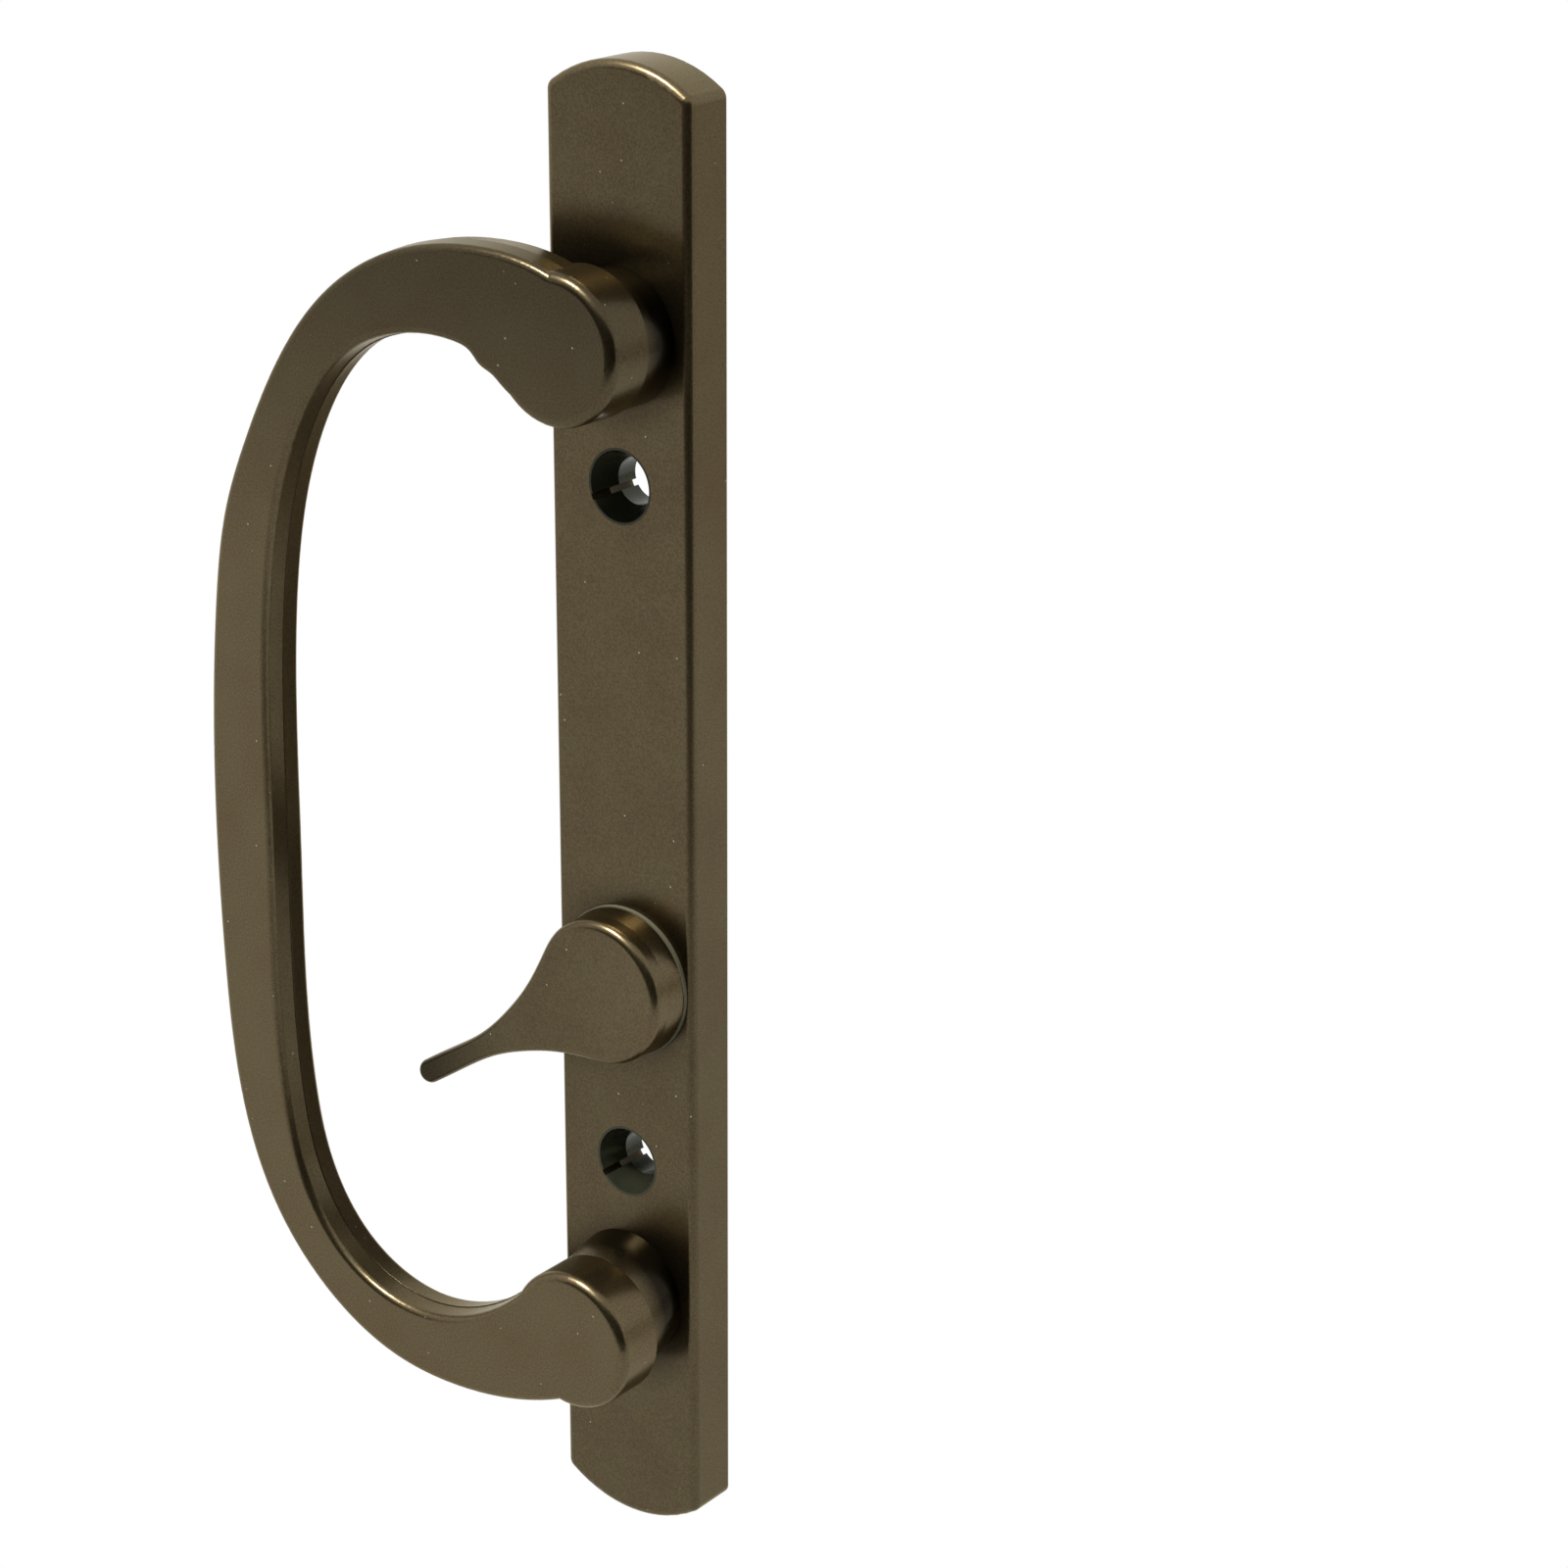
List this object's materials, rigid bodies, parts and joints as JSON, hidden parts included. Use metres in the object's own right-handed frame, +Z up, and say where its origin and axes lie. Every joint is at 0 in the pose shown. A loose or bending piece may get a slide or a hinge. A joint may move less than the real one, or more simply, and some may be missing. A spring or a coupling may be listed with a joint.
{
  "type": "sliding patio door handle",
  "caption": "D-shaped pull on a long arched plate with a thumb lever that turns a tailpiece, for a sliding patio door lock.",
  "frame": {"origin": "midway between the two fixing holes, on the back plane that lies against the door", "axes": "+Y into the door, -Y out towards the hand, +Z up the plate, the pull reaches towards -X"},
  "size_m": [0.0777, 0.0311, 0.2144],
  "materials": {
    "bronze_paint": "dark bronze paint with a fine flake, satin, on die-cast zinc",
    "cup_plastic": "moulded dark grey plastic, glossy",
    "zinc_steel": "bright zinc plate",
    "spring_steel": "dark oiled spring steel",
    "bush_plastic": "moulded natural acetal"
  },
  "bodies": {
    "handle": {"escutcheon_plate": "bronze_paint", "upper_fixing_cup": "cup_plastic", "lower_fixing_cup": "cup_plastic", "pull_grip": "bronze_paint", "upper_grip_screw": "zinc_steel", "lower_grip_screw": "zinc_steel", "upper_grip_lock_washer": "spring_steel", "lower_grip_lock_washer": "spring_steel", "lever_base_washer": "bush_plastic", "lever_bush": "bush_plastic", "lever_wave_washer": "spring_steel", "lever_thrust_washer": "zinc_steel"},
    "lever": {"thumb_lever": "bronze_paint", "lever_retaining_ring": "spring_steel", "tailpiece": "zinc_steel", "tailpiece_pin": "zinc_steel"}
  },
  "joints": [
    {"name": "lever_turn", "type": "hinge", "parent": "handle", "child": "lever", "pos_m": [0, 0, -0.0218], "axis": [0, 1, 0], "range_deg": [0, 65.2]}
  ]
}
